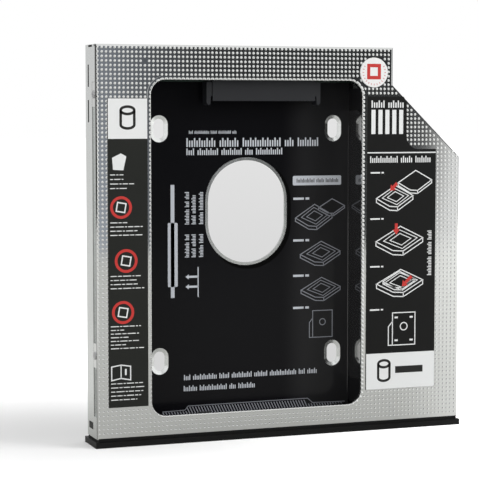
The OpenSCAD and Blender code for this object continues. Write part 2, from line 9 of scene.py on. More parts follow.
import bpy
import numpy as np
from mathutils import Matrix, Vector


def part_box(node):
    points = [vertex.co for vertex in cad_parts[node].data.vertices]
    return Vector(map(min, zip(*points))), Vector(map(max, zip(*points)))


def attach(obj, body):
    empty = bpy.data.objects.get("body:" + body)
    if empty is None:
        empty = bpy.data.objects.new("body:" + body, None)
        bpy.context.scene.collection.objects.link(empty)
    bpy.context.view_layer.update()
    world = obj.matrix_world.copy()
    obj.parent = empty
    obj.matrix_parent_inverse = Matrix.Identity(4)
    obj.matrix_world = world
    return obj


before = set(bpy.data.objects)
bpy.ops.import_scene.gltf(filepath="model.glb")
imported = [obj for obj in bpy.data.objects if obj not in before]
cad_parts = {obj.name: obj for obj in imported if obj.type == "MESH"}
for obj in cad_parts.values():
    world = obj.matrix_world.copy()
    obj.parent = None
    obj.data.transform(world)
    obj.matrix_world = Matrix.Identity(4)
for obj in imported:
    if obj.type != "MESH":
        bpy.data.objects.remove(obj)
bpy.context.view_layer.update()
MM = 0.001

# %% [markdown]
# ## Places on the caddy
# A maker marks out sheet metal from its edges, so every place below is given in millimetres: across
# from the middle, deep below the printed face, and up from the case's lower edge. One function turns
# that into metres in the frame, and it reads the two edges from the solids.
# %% Millimetres on the case, turned into the frame
tray_low, tray_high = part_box("base_tray")
FACE_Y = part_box("left_label")[1].y
CASE_Z = tray_low.z


def place(across, deep, up):
    """Points in metres: (across, face + deep, case edge + up), each a number or an array in mm."""
    across, deep, up = np.broadcast_arrays(across, deep, up)
    return np.stack([across * MM, FACE_Y + deep * MM, CASE_Z + up * MM], axis=-1).reshape(-1, 3)


print("face at y", round(FACE_Y, 5), "case edge at z", round(CASE_Z, 5))

# %% [markdown]
# ## The camera
# The photograph was taken from the left and a little above, so the left wall shows as a thin strip
# and the bottom edge climbs to the right. A long lens far away keeps the upright edges almost
# parallel. The view is built from a target point, two angles and a distance, which is easier to
# reason about than a position: turn, then tip, then step back.
# %% Camera at the photographer's place
VIEW_YAW = math.radians(20.12)
VIEW_DIP = math.radians(4.24)
VIEW_DISTANCE = 570.0 * MM
VIEW_FOCAL_PX = 1746.0
IMAGE_PX = 480
target = Vector(place(-15.8, 0.0, 63.0)[0])
look = Vector((math.sin(VIEW_YAW) * math.cos(VIEW_DIP), math.cos(VIEW_YAW) * math.cos(VIEW_DIP),
               -math.sin(VIEW_DIP)))
camera_data = bpy.data.cameras.new("camera")
camera_data.sensor_width = 36.0
camera_data.lens = VIEW_FOCAL_PX * camera_data.sensor_width / IMAGE_PX
camera_data.clip_start = 0.01
camera = bpy.data.objects.new("camera", camera_data)
camera.location = target - look * VIEW_DISTANCE
camera.rotation_euler = look.to_track_quat("-Z", "Y").to_euler()
bpy.context.scene.collection.objects.link(camera)
bpy.context.scene.camera = camera
print("camera at", [round(v, 3) for v in camera.location], "lens", round(camera_data.lens, 1))

# %% [markdown]
# ## A finish and its grain
# No real surface is one colour. Each finish here is one shader whose colour drifts a little with a
# soft noise, and whose surface carries a fine grain as a bump. Both noises read Object coordinates
# in metres, so a scale of 1000 means a grain of about a millimetre. Stretching the noise along one
# direction turns grain into the drawn lines of rolled metal.
# %% One shader with drift and grain


def emptied_tree(owner):
    """The owner's node tree, emptied, with the two calls that fill it."""
    owner.use_nodes = True
    owner.node_tree.nodes.clear()
    return owner.node_tree.nodes.new, owner.node_tree.links.new


def noise_at(new, link, scale, stretch=(1, 1, 1), detail=2.0):
    """A noise on Object coordinates, squeezed by stretch so that a small number draws it out."""
    where = new("ShaderNodeTexCoord")
    squeeze = new("ShaderNodeMapping")
    squeeze.inputs["Scale"].default_value = stretch
    noise = new("ShaderNodeTexNoise")
    noise.inputs["Scale"].default_value = scale
    noise.inputs["Detail"].default_value = detail
    link(where.outputs["Object"], squeeze.inputs["Vector"])
    link(squeeze.outputs["Vector"], noise.inputs["Vector"])
    return noise.outputs["Fac"]


def finish(name, colour, roughness, metallic=0.0, specular=0.5, drift=0.05, drift_scale=60.0,
           grain=0.1, grain_scale=2500.0, grain_mm=0.01, stretch=(1, 1, 1), rough_drift=0.0):
    """A Principled shader: colour times 1 +- drift, roughness +- rough_drift, and a grain bump."""
    material = bpy.data.materials.new(name)
    new, link = emptied_tree(material)
    out = new("ShaderNodeOutputMaterial")
    skin = new("ShaderNodeBsdfPrincipled")
    skin.inputs["Metallic"].default_value = metallic
    skin.inputs["Specular IOR Level"].default_value = specular
    skin.inputs["Roughness"].default_value = roughness
    soft = noise_at(new, link, drift_scale, stretch, 4.0)
    tone = new("ShaderNodeMixRGB")
    tone.inputs[1].default_value = (*(c * (1 - drift) for c in colour), 1)
    tone.inputs[2].default_value = (*(min(1, c * (1 + drift)) for c in colour), 1)
    link(soft, tone.inputs[0])
    link(tone.outputs[0], skin.inputs["Base Color"])
    if rough_drift:
        spread = new("ShaderNodeMapRange")
        spread.inputs["To Min"].default_value = roughness - rough_drift
        spread.inputs["To Max"].default_value = roughness + rough_drift
        link(soft, spread.inputs["Value"])
        link(spread.outputs[0], skin.inputs["Roughness"])
    bump = new("ShaderNodeBump")
    bump.inputs["Strength"].default_value = grain
    bump.inputs["Distance"].default_value = grain_mm * MM
    link(noise_at(new, link, grain_scale, stretch), bump.inputs["Height"])
    link(bump.outputs[0], skin.inputs["Normal"])
    link(skin.outputs[0], out.inputs[0])
    return material


def dress(node, material):
    """Give a solid its finish in every slot of its mesh."""
    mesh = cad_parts[node].data
    mesh.materials.clear()
    mesh.materials.append(material)


# %% [markdown]
# ## Metal
# The cover is a bright sheet that mirrors its surroundings, so its tone comes from the room and not from its colour.
# The tray is the same metal with a duller mill finish, drawn lengthwise by the rollers. Screws are plated and a little
# darker. Painted shade darkens the cover's sideways faces just below its bend, and the side recess behind the cover's
# rim, darkest next to the rim: there the colour is multiplied down where the surface looks sideways.
# %% Metal finishes


def painted_side_shade(material, across, deep, tones):
    """Paint shade on the finish: multiply its colour on its sideways faces by a tone that changes with the depth.

    across is |x| and its tolerance, deep the depths of the first tone, of the second and of the
    end, all in millimetres.
    """
    new, link = material.node_tree.nodes.new, material.node_tree.links.new
    skin = next(n for n in material.node_tree.nodes if n.bl_idname == "ShaderNodeBsdfPrincipled")

    def measure(operation, value, first, second=0.0):
        """A Math node on a value."""
        node = new("ShaderNodeMath")
        node.operation = operation
        link(value, node.inputs[0])
        for spot, number in ((1, first), (2, second)):
            link(number, node.inputs[spot]) if hasattr(number, "node") else setattr(
                node.inputs[spot], "default_value", number)
        return node.outputs[0]

    where, shape = new("ShaderNodeTexCoord"), new("ShaderNodeNewGeometry")
    axes, looks = new("ShaderNodeSeparateXYZ"), new("ShaderNodeSeparateXYZ")
    link(where.outputs["Object"], axes.inputs[0])
    link(shape.outputs["True Normal"], looks.inputs[0])
    on_wall = measure("COMPARE", measure("ABSOLUTE", axes.outputs["X"], 0.0), across[0] * MM, across[1] * MM)
    sideways = measure("GREATER_THAN", measure("ABSOLUTE", looks.outputs["X"], 0.0), 0.9)
    shallow = measure("LESS_THAN", axes.outputs["Y"], FACE_Y + deep[2] * MM)
    ramp, painted_shade = new("ShaderNodeMapRange"), new("ShaderNodeMixRGB")
    ramp.inputs["From Min"].default_value = FACE_Y + deep[0] * MM
    ramp.inputs["From Max"].default_value = FACE_Y + deep[1] * MM
    ramp.inputs["To Min"].default_value, ramp.inputs["To Max"].default_value = tones
    painted_shade.blend_type = "MULTIPLY"
    link(axes.outputs["Y"], ramp.inputs["Value"])
    link(measure("MULTIPLY", measure("MULTIPLY", on_wall, sideways), shallow), painted_shade.inputs[0])
    link(skin.inputs["Base Color"].links[0].from_socket, painted_shade.inputs[1])
    link(ramp.outputs[0], painted_shade.inputs[2])
    link(painted_shade.outputs[0], skin.inputs["Base Color"])
    return material


SHEET = {"colour": (0.86, 0.87, 0.86), "roughness": 0.075, "metallic": 1.0, "drift": 0.02, "grain": 0.1,
         "grain_scale": 900.0, "grain_mm": 0.006, "rough_drift": 0.02}
face_metal = finish("face_metal", **SHEET)
# Painted shade: the cover's sideways faces just below its bend are multiplied down to 0.42.
cover_metal = painted_side_shade(finish("cover_metal", **SHEET), (64.0, 0.3), (0.6, 1.2, 1.25), (0.42, 0.42))
tray_metal = finish("tray_metal", (0.89, 0.91, 0.90), 0.21, 1.0, drift=0.03, drift_scale=120.0,
                    grain=0.2, grain_scale=1800.0, stretch=(1, 1, 0.12), rough_drift=0.05)
# Painted shade: the side recess behind the cover's rim is multiplied down, darkest next to the rim.
painted_side_shade(tray_metal, (63.45, 0.35), (2.8, 4.0, 4.65), (0.2, 0.66))
screw_metal = finish("screw_metal", (0.60, 0.60, 0.61), 0.30, 1.0, grain=0.15)
brass = finish("brass", (0.80, 0.62, 0.30), 0.28, 1.0, grain=0.1)
contact_metal = finish("contact_metal", (0.90, 0.68, 0.32), 0.22, 1.0, grain=0.05)
dress("top_cover", cover_metal)
dress("base_tray", tray_metal)
for node in ("rail_screws", "cover_screws", "board_screws", "switch_housing", "switch_pins"):
    dress(node, screw_metal)
dress("board_spacers", brass)
for node in ("drive_contacts", "laptop_contacts"):
    dress(node, contact_metal)

# %% [markdown]
# ## Plastic, film and the board
# The film is glossy black and nearly flat, so it shows only what it mirrors. Its standing flap is seen at a grazing
# angle, where gloss is strongest, and towards that fold the film's colour is lifted to a dark grey, a painted
# reflection. The bezel is moulded with a fine spark-eroded grain, which breaks its highlights up. The connectors are a
# blue-grey nylon, and the board is dark green lacquer over its copper.
# %% Plastic finishes
film_black = finish("film_black", (0.003, 0.003, 0.004), 0.16, specular=0.15, drift=0.2, grain=0.02)
bezel_black = finish("bezel_black", (0.004, 0.004, 0.004), 0.40, specular=0.25, drift=0.15,
                     grain=0.5, grain_scale=4000.0, grain_mm=0.02)
film_new, film_link = film_black.node_tree.nodes.new, film_black.node_tree.links.new
film_skin = next(n for n in film_black.node_tree.nodes if n.bl_idname == "ShaderNodeBsdfPrincipled")
film_shape, film_axes = film_new("ShaderNodeNewGeometry"), film_new("ShaderNodeSeparateXYZ")
film_side, film_gloss = film_new("ShaderNodeMath"), film_new("ShaderNodeMapRange")
film_side.operation = "ABSOLUTE"
film_gloss.inputs["From Min"].default_value = 0.5
film_gloss.inputs["From Max"].default_value = 0.9
film_link(film_shape.outputs["True Normal"], film_axes.inputs[0])
film_link(film_axes.outputs["X"], film_side.inputs[0])
film_link(film_side.outputs[0], film_gloss.inputs["Value"])
film_link(film_gloss.outputs[0], film_skin.inputs["Coat Weight"])
film_skin.inputs["Coat IOR"].default_value = 3.0
film_skin.inputs["Coat Roughness"].default_value = 0.05
# Painted reflection: towards the flap the film's colour is lifted from near black to a dark grey.
film_where, film_place = film_new("ShaderNodeTexCoord"), film_new("ShaderNodeSeparateXYZ")
film_sheen_band, film_painted_sheen = film_new("ShaderNodeMapRange"), film_new("ShaderNodeMixRGB")
film_sheen_band.interpolation_type = "SMOOTHSTEP"
film_sheen_band.inputs["From Min"].default_value = 3.0 * MM
film_sheen_band.inputs["From Max"].default_value = 13.0 * MM
film_painted_sheen.inputs[1].default_value = (0.0045, 0.0045, 0.0055, 1)
film_painted_sheen.inputs[2].default_value = (0.017, 0.017, 0.018, 1)
film_link(film_where.outputs["Object"], film_place.inputs[0])
film_link(film_place.outputs["X"], film_sheen_band.inputs["Value"])
film_link(film_sheen_band.outputs[0], film_painted_sheen.inputs[0])
film_link(film_painted_sheen.outputs[0], film_skin.inputs["Base Color"])
rail_black = finish("rail_black", (0.010, 0.010, 0.011), 0.45, specular=0.35, grain=0.3)
connector_grey = finish("connector_grey", (0.011, 0.012, 0.015), 0.40, drift=0.12, grain=0.3)
board_green = finish("board_green", (0.008, 0.022, 0.014), 0.30, drift=0.25, drift_scale=400.0)
knob_white = finish("knob_white", (0.80, 0.80, 0.76), 0.40, grain=0.2)
capacitor_tan = finish("capacitor_tan", (0.42, 0.30, 0.18), 0.45, drift=0.1)
resistor_black = finish("resistor_black", (0.015, 0.015, 0.017), 0.35, drift=0.1)
lens_clear = finish("lens_clear", (0.45, 0.75, 0.50), 0.12, drift=0.05)
for node, material in {
        "antistatic_film": film_black, "bezel": bezel_black, "bay_rail_left": rail_black,
        "bay_rail_right": rail_black, "drive_connector": connector_grey,
        "laptop_connector": connector_grey, "circuit_board": board_green,
        "switch_knob": knob_white, "board_capacitors": capacitor_tan,
        "board_resistors": resistor_black, "activity_light": lens_clear}.items():
    dress(node, material)

# %% [markdown]
# ## Paper and ink
# The stickers are coated paper: an even ground with a faint fibre drift under a soft gloss. Ink is
# a flat shape a hundredth of a millimetre proud of what it is printed on.
# %% Paper and ink finishes
label_dark = finish("label_dark", (0.013, 0.014, 0.012), 0.42, specular=0.25, drift=0.12, grain=0.08)
label_black = finish("label_black", (0.006, 0.0062, 0.006), 0.40, specular=0.2, drift=0.12, grain=0.08)
paper_white = finish("paper_white", (0.78, 0.78, 0.775), 0.45, specular=0.3, drift=0.02, grain=0.1)
ink_white = finish("ink_white", (0.745, 0.755, 0.755), 0.5, specular=0.3, drift=0.04)
ink_grey = finish("ink_grey", (0.24, 0.25, 0.28), 0.5, specular=0.3, drift=0.06)
ink_grey_light = finish("ink_grey_light", (0.54, 0.565, 0.61), 0.5, specular=0.3, drift=0.05)
ink_rose = finish("ink_rose", (0.62, 0.30, 0.32), 0.5, specular=0.3, drift=0.05)
ink_red = finish("ink_red", (0.52, 0.035, 0.030), 0.5, specular=0.3, drift=0.06)
ink_black = finish("ink_black", (0.014, 0.014, 0.013), 0.5, specular=0.3, drift=0.1)
dress("left_label", label_dark)
dress("right_label", label_black)
dress("round_sticker", paper_white)
print("finishes:", len(bpy.data.materials))

# %% [markdown]
# ## Pieces from arrays
# New pieces are worked out as whole arrays of points and put into a mesh in one go. The places are
# already in the frame, so the object itself stays at the origin, unturned.
# %% Points and faces into a mesh


def make_piece(name, points, faces, material, smooth):
    """A mesh from an (n, 3) array in metres and an (m, 4) array of quads, riding on the case."""
    mesh = bpy.data.meshes.new(name)
    mesh.vertices.add(len(points))
    mesh.vertices.foreach_set("co", np.ascontiguousarray(points, np.float32).ravel())
    mesh.loops.add(faces.size)
    mesh.loops.foreach_set("vertex_index", np.ascontiguousarray(faces, np.int32).ravel())
    mesh.polygons.add(len(faces))
    mesh.polygons.foreach_set("loop_start", np.arange(0, faces.size, faces.shape[1], dtype=np.int32))
    mesh.update(calc_edges=True)
    mesh.validate()
    mesh.shade_smooth() if smooth else mesh.shade_flat()
    mesh.materials.append(material)
    piece = bpy.data.objects.new(name, mesh)
    bpy.context.scene.collection.objects.link(piece)
    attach(piece, "case")
    print(name, len(points), "points,", len(faces), "faces")
    return piece


def grid_quads(rows, columns, close_columns):
    """Quads between neighbouring rows of a grid of points, closing round in the columns if asked."""
    steps = columns if close_columns else columns - 1
    i, j = np.meshgrid(np.arange(rows - 1), np.arange(steps), indexing="ij")
    here, there = i * columns + j, i * columns + (j + 1) % columns
    return np.stack([here, there, there + columns, here + columns], -1).reshape(-1, 4)


# %% [markdown]
# ## The pressed dots
# The face is embossed: a roller has pushed small domes up from behind on a square grid of 1.42 mm,
# up to a smooth edge. They are what gives the metal its sparkle, because a dome mirrors the whole
# room while the flat between mirrors one patch of it. A bump texture would vanish at a grazing view
# and can't catch the light at the rim, so the domes are real surfaces. One dome is a bell curve,
# height times exp(-(r / spread)^2), worked out in rings and copied to all centres by adding arrays.
# %% Domes on the cover
DOT_PITCH = 1.4185
DOT_ORIGIN = (0.42, 0.295)
DOT_REACH = 0.55
DOT_SPREAD = 0.255
DOT_HEIGHT = 0.135
BEND = 0.6
CASE_LEFT, CASE_RIGHT, CASE_TOP = -64.0, 64.0, 126.1
NARROW_X, CHAMFER_LOW, CHAMFER_HIGH = 39.0, 89.4, 113.5
WINDOW = (-46.1, 6.4, 27.9, 115.2)
LIP_OUT, LIP_IN, LIP_TURN, LIP_WIDER = 0.6, 0.25, 0.7, 0.45
MISSED_DOT = (-47.81, 120.87)


def inside_outline(x, z, margin):
    """True where a point lies in the case's outline, further than margin from its edges."""
    run, rise = CASE_RIGHT - NARROW_X, CHAMFER_HIGH - CHAMFER_LOW
    slope = (x - NARROW_X) * rise + (z - CHAMFER_HIGH) * run < -margin * math.hypot(run, rise)
    right = np.where(z < CHAMFER_LOW, x < CASE_RIGHT - margin, True)
    narrow = np.where(z > CHAMFER_HIGH - margin, x < NARROW_X - margin, True)
    corner = (x < NARROW_X - margin) | slope
    return (x > CASE_LEFT + margin) & (z > margin) & (z < CASE_TOP - margin) & right & narrow & corner


def outside_rounded_box(x, z, box, radius, margin):
    """True where a point lies further than margin outside a box with rounded corners."""
    x0, z0, x1, z1 = box
    dx = np.maximum(np.abs(x - (x0 + x1) / 2) - (x1 - x0) / 2 + radius, 0)
    dz = np.maximum(np.abs(z - (z0 + z1) / 2) - (z1 - z0) / 2 + radius, 0)
    return np.hypot(dx, dz) > radius + margin


def label_box(node):
    """The box of a flat solid in millimetres across and up: left, low, right, high."""
    low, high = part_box(node)
    return tuple(v / MM for v in (low.x, low.z - CASE_Z, high.x, high.z - CASE_Z))


left_box, right_box, sticker_box = map(label_box, ("left_label", "right_label", "round_sticker"))
neck_right, shoulder = right_box[0] + 14.5, right_box[3] - 17.6
columns = np.arange(math.ceil(CASE_LEFT / DOT_PITCH), math.floor(CASE_RIGHT / DOT_PITCH) + 1)
rows = np.arange(0, math.ceil(CASE_TOP / DOT_PITCH))
dot_x, dot_z = [a.ravel() for a in np.meshgrid(DOT_ORIGIN[0] + columns * DOT_PITCH,
                                               DOT_ORIGIN[1] + rows * DOT_PITCH)]
keep = inside_outline(dot_x, dot_z, 0.55)
keep &= outside_rounded_box(dot_x, dot_z, WINDOW, 5.0, 1.1)
keep &= np.hypot(dot_x - MISSED_DOT[0], dot_z - MISSED_DOT[1]) > DOT_PITCH / 2
keep &= outside_rounded_box(dot_x, dot_z, left_box, 0.3, 0.3)
keep &= outside_rounded_box(dot_x, dot_z, (*right_box[:3], shoulder), 0.3, 0.3)
keep &= outside_rounded_box(dot_x, dot_z, (right_box[0], right_box[1], neck_right, right_box[3]), 0.3, 0.3)
keep &= outside_rounded_box(dot_x, dot_z, sticker_box, (sticker_box[2] - sticker_box[0]) / 2, 0.3)
dot_x, dot_z = dot_x[keep], dot_z[keep]

reach = np.array([DOT_REACH, 0.37, 0.22, 0.09])[:, None]
turn = np.arange(8) * np.pi / 4
dome_x = (reach * np.cos(turn)).ravel()
dome_z = (reach * np.sin(turn)).ravel()
swell = np.exp(-(reach / DOT_SPREAD) ** 2)
dome_y = np.repeat(DOT_HEIGHT * (swell - swell[0]), 8) - 0.008
dome_faces = np.concatenate([grid_quads(4, 8, True), 24 + np.array([[0, 1, 2, 3], [0, 3, 4, 7], [4, 5, 6, 7]])])


def bend_drop(x):
    """How far the face falls away at the side bends: r - sqrt(r^2 - t^2), t being the way into the bend."""
    into = np.clip(np.abs(x) - (CASE_RIGHT - BEND), 0, BEND * 0.98)
    return BEND - np.sqrt(BEND ** 2 - into ** 2)


for name, side in (("pressed_dots_left", dot_x < 0), ("pressed_dots_right", dot_x >= 0)):
    across, up = dot_x[side, None] + dome_x, dot_z[side, None] + dome_z
    dot_faces = (np.arange(side.sum())[:, None, None] * 32 + dome_faces).reshape(-1, 4)
    make_piece(name, place(across, bend_drop(across) - dome_y, up), dot_faces, face_metal, True)

# %% [markdown]
# ## The rolled lip
# The window's edge is pressed up and rolled over, so it has a round crest that draws a bright line
# round the opening. It is a profile carried along a path: the path is the window's outline, and at
# each of its points the profile stands along the outward normal. Its inner side turns down over the
# cut edge, and the crest swells a little at every dot, because the roller passed here too. On the
# right its outer slope is drawn out by LIP_WIDER * t^2, t being the way from the crest to the foot.
# %% Lip along the window's outline


def rounded_path(box, radius, arc=10):
    """A box's outline with rounded corners: points and outward normals, anticlockwise."""
    x0, z0, x1, z1 = box
    angle = np.linspace(0, np.pi / 2, arc) + np.arange(4)[:, None] * np.pi / 2
    centre_x = np.array([x1 - radius, x0 + radius, x0 + radius, x1 - radius])[:, None]
    centre_z = np.array([z1 - radius, z1 - radius, z0 + radius, z0 + radius])[:, None]
    normal = np.stack([np.cos(angle), np.sin(angle)], -1)
    return np.stack([centre_x, centre_z], -1) + radius * normal, normal


def resampled(path, step):
    """A closed path with a point every step: each side is cut into equal parts."""
    ahead = np.roll(path, -1, 0)
    parts = np.maximum(1, np.round(np.hypot(*(ahead - path).T) / step)).astype(int)
    start = np.repeat(path, parts, 0)
    side = np.repeat(ahead - path, parts, 0)
    along = np.arange(len(start)) - np.repeat(np.cumsum(parts) - parts, parts)
    return start + side * (along / np.repeat(parts, parts))[:, None]


path = resampled(rounded_path(WINDOW, 5.0)[0].reshape(-1, 2), 0.2)
ahead = np.roll(path, -1, 0) - np.roll(path, 1, 0)
outward = np.stack([ahead[:, 1], -ahead[:, 0]], -1) / np.hypot(*ahead.T)[:, None]
beads = 0.5 + 0.5 * np.cos(2 * np.pi * (path[:, ::-1] - DOT_ORIGIN[::-1]) / DOT_PITCH)
bead = (beads * outward ** 2).sum(1) * np.where(outward[:, 0] < -0.5, 0.4, 1.0)
across_lip = np.linspace(1, -1, 11)
wider = LIP_WIDER * np.clip(outward[:, :1], 0, 1) ** 2 * np.clip(across_lip, 0, 1) ** 2
lip_out = (LIP_OUT - LIP_IN) / 2 + across_lip * (LIP_OUT + LIP_IN) / 2 + wider
lip_out = np.concatenate([lip_out, np.full((len(path), 1), -LIP_IN)], 1)
lip_rise = (1 - across_lip ** 2) ** 0.5 * (0.18 + 0.24 * bead[:, None])
lip_rise[:, 0] = -0.02
lip_rise = np.concatenate([lip_rise, np.full((len(path), 1), -LIP_TURN)], 1)
lip_x = path[:, 0, None] + outward[:, 0, None] * lip_out
lip_z = path[:, 1, None] + outward[:, 1, None] * lip_out
lip_faces = grid_quads(len(path) + 1, 12, False)[:, ::-1] % (len(path) * 12)
make_piece("rolled_lip", place(lip_x, -lip_rise, lip_z), lip_faces, face_metal, True)

# %% [markdown]
# ## Shaded openings and the film's fold
# Light can't reach the bottom of narrow slits, nor of the openings at the corner where the sheet's folds don't quite
# meet. Each gets a dark field of painted shade just over the wall's surface. The film turns up into its flap over a
# small radius, and that quarter of a cylinder catches a thin line of light. Beside the big hole the film stands off the
# metal, and the shade under its edge is painted as a black crescent on the film: it is the band between the hole's
# border and the same border grown by w * cos(0.9 * angle + 36 degrees)^0.7.
# %% Painted shade in slits and corner gaps, and the fold's curve
painted_gap_shade = finish("painted_gap_shade", (0.012, 0.012, 0.012), 0.8, specular=0.1, drift=0.2)


def wall_quads(rows, across):
    """Flat faces on the left wall; each row is (deep from, deep to, up from, up to) in millimetres."""
    deep0, deep1, up0, up1 = np.array(rows, float).T
    deep = np.stack([deep1, deep0, deep0, deep1], -1).ravel()
    up = np.stack([up0, up0, up1, up1], -1).ravel()
    return place(across, deep, up), np.arange(len(deep)).reshape(-1, 4)


# Painted shade: dark fields over the slits and the corner openings, where light can't reach.
slit_points, slit_faces = wall_quads([(8.3, 9.5, 112.7, 119.8), (8.3, 9.5, 101.4, 108.5)], CASE_LEFT - 0.012)
make_piece("painted_slit_shade", slit_points, slit_faces, painted_gap_shade, False)
gap_points, gap_faces = wall_quads([(4.4, 8.6, 125.3, 125.95), (1.25, 2.1, 125.4, 126.0)], CASE_LEFT - 0.012)
make_piece("painted_corner_shade", gap_points, gap_faces, painted_gap_shade, False)

FOLD_RADIUS, FLAP_X, FILM_DEEP = 0.3, 28.0, 11.75
fold_turn = np.linspace(0, np.pi / 2, 7)
fold_x = FLAP_X - FOLD_RADIUS * (1 - np.sin(fold_turn))
fold_deep = FILM_DEEP - FOLD_RADIUS * (1 - np.cos(fold_turn))
fold_points = place(fold_x, fold_deep, np.array([[9.0], [100.0]]))
make_piece("film_fold", fold_points, grid_quads(2, 7, False), film_black, True)

# Painted shadow: a black crescent on the film beside the big hole, under the film's raised edge.
EYE_X, EYE_UP, EYE_HALF, EYE_BORDER = -9.0, 71.6, 3.5, 14.5
shadow_black = finish("shadow_black", (0.002, 0.002, 0.002), 0.8, specular=0.05, drift=0.2)
eye_turn = np.radians(np.append(np.arange(-135, 1, 5), np.arange(0, 46, 5)))
eye_end = np.where(np.arange(len(eye_turn)) < 28, -EYE_HALF, EYE_HALF)
eye_reach = EYE_BORDER + np.array([[0.0], [1.6]]) * np.cos(0.9 * eye_turn + 0.63) ** 0.7
eye_points = place(EYE_X + eye_reach * np.cos(eye_turn), FILM_DEEP - 0.006, EYE_UP + eye_end + eye_reach * np.sin(eye_turn))
make_piece("painted_film_edge_shadow", eye_points, grid_quads(2, len(eye_turn), False)[:, ::-1], shadow_black, False)

# %% [markdown]
# ## Ink shapes
# Printed signs are flat shapes. Each is a small set of points in millimetres, across and up, with
# its faces running anticlockwise so that they look out of the case. A line is a band of half its
# width on both sides of a path. All shapes of one colour on one sticker become one piece.
# %% Flat shapes to print with


def patch(*corners):
    """One flat face through the given corners."""
    return np.array(corners, float), [list(range(len(corners)))]


def bar(x0, z0, x1, z1):
    """A rectangle between two corners."""
    return patch((x0, z0), (x1, z0), (x1, z1), (x0, z1))


def ring(x, z, inner, outer, turns=36):
    """The band between two circles: radius times (cos, sin) of the angle."""
    angle = np.arange(turns) * 2 * np.pi / turns
    circle = np.stack([np.cos(angle), np.sin(angle)], -1)
    i = np.arange(turns)
    j = (i + 1) % turns
    faces = np.stack([i + turns, j + turns, j, i], -1).tolist()
    return np.concatenate([circle * inner, circle * outer]) + (x, z), faces


def line(path, width, closed=False):
    """A band along a path: at each point, half the width to both sides along the mean normal."""
    path = np.array(path, float)
    ahead = np.roll(path, -1, 0) - path
    ahead /= np.linalg.norm(ahead, axis=1, keepdims=True)
    behind = np.roll(ahead, 1, 0)
    if not closed:
        ahead[-1], behind[0] = behind[-1], ahead[0]
    left = np.stack([-ahead[:, 1], ahead[:, 0]], -1) + np.stack([-behind[:, 1], behind[:, 0]], -1)
    left *= width / np.maximum((left ** 2).sum(1, keepdims=True), 0.6)
    n = len(path)
    i = np.arange(n if closed else n - 1)
    j = (i + 1) % n
    return np.concatenate([path + left, path - left]), np.stack([i + n, j + n, j, i], -1).tolist()


WORD_LENGTHS = (5, 2, 7, 3, 6, 4, 8, 2, 5)
TICK_HEIGHTS = (1.0, 0.72, 0.72, 1.0, 0.72)


def words(x0, x1, z, height, first=0, weight=0.62):
    """A row of plain dashes as long as words, each weight times as thick as the row is high."""
    unit, thick = height * 0.55, height * weight / 2
    shapes, x, k = [], x0, first
    while x < x1 - unit:
        end = min(x + WORD_LENGTHS[k % len(WORD_LENGTHS)] * unit, x1)
        shapes.append(bar(x, z + height / 2 - thick, end, z + height / 2 + thick))
        x, k = end + height * 0.6, k + 1
    return shapes


def ticks(x0, x1, z, height, first=0, pitch=0.34, width=0.19):
    """Rows of upright ticks in groups as long as words; heights and gaps are parts of the row's height."""
    shapes, x, k, tick = [], x0, first, 0
    while x < x1 - height:
        for _ in range(2 * WORD_LENGTHS[k % len(WORD_LENGTHS)]):
            if x < x1:
                shapes.append(bar(x, z, x + height * width, z + height * TICK_HEIGHTS[tick % 5]))
            x, tick = x + height * pitch, tick + 1
        x, k = x + height * 0.4, k + 1
    return shapes


def upright(shapes, x):
    """Shapes turned a quarter left, so that a row runs up along the height at a place across."""
    return [(np.stack([x - p[:, 1], p[:, 0]], -1), faces) for p, faces in shapes]


def rounded(x0, z0, x1, z1, radius):
    """A filled box with rounded corners as one face."""
    return rounded_path((x0, z0, x1, z1), radius, 6)[0].reshape(-1, 2), [list(range(24))]


def print_on(name, shapes, deep, ink):
    """Put all shapes into one flat piece at a depth below the face, joined by shifting their faces."""
    points = np.concatenate([p for p, _ in shapes])
    starts = np.cumsum([0] + [len(p) for p, _ in shapes[:-1]])
    faces = [[v + start for v in face] for (_, own), start in zip(shapes, starts) for face in own]
    mesh = bpy.data.meshes.new(name)
    mesh.from_pydata(place(points[:, 0], deep, points[:, 1]).tolist(), [], faces)
    mesh.materials.append(ink)
    piece = bpy.data.objects.new(name, mesh)
    bpy.context.scene.collection.objects.link(piece)
    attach(piece, "case")
    print(name, len(shapes), "shapes,", len(faces), "faces")
    return piece


# %% [markdown]
# ## What the stickers show
# Stickers like these tell how to fit the drive and how to treat it. Each is a field of colour with
# plain signs in it: a drum for a disc drive, rings, a box, arrows, and dashes for small print.
# %% Signs drawn from the flat shapes


def drum(x0, z0, x1, z1, width):
    """The outline of a disc drive's drum: an ellipse on top, two sides and half an ellipse below."""
    mid, half, tip = (x0 + x1) / 2, (x1 - x0) / 2, (z1 - z0) * 0.17
    angle = np.linspace(0, 2 * np.pi, 32, endpoint=False)
    top = np.stack([mid + half * np.cos(angle), z1 - tip + tip * np.sin(angle)], -1)
    low = angle[:17] + np.pi
    base = np.stack([mid + half * np.cos(low), z0 + tip + tip * np.sin(low)], -1)
    body = [(x0, z1 - tip), *base.tolist(), (x1, z1 - tip)]
    return [line(top, width, True), line(body, width)]


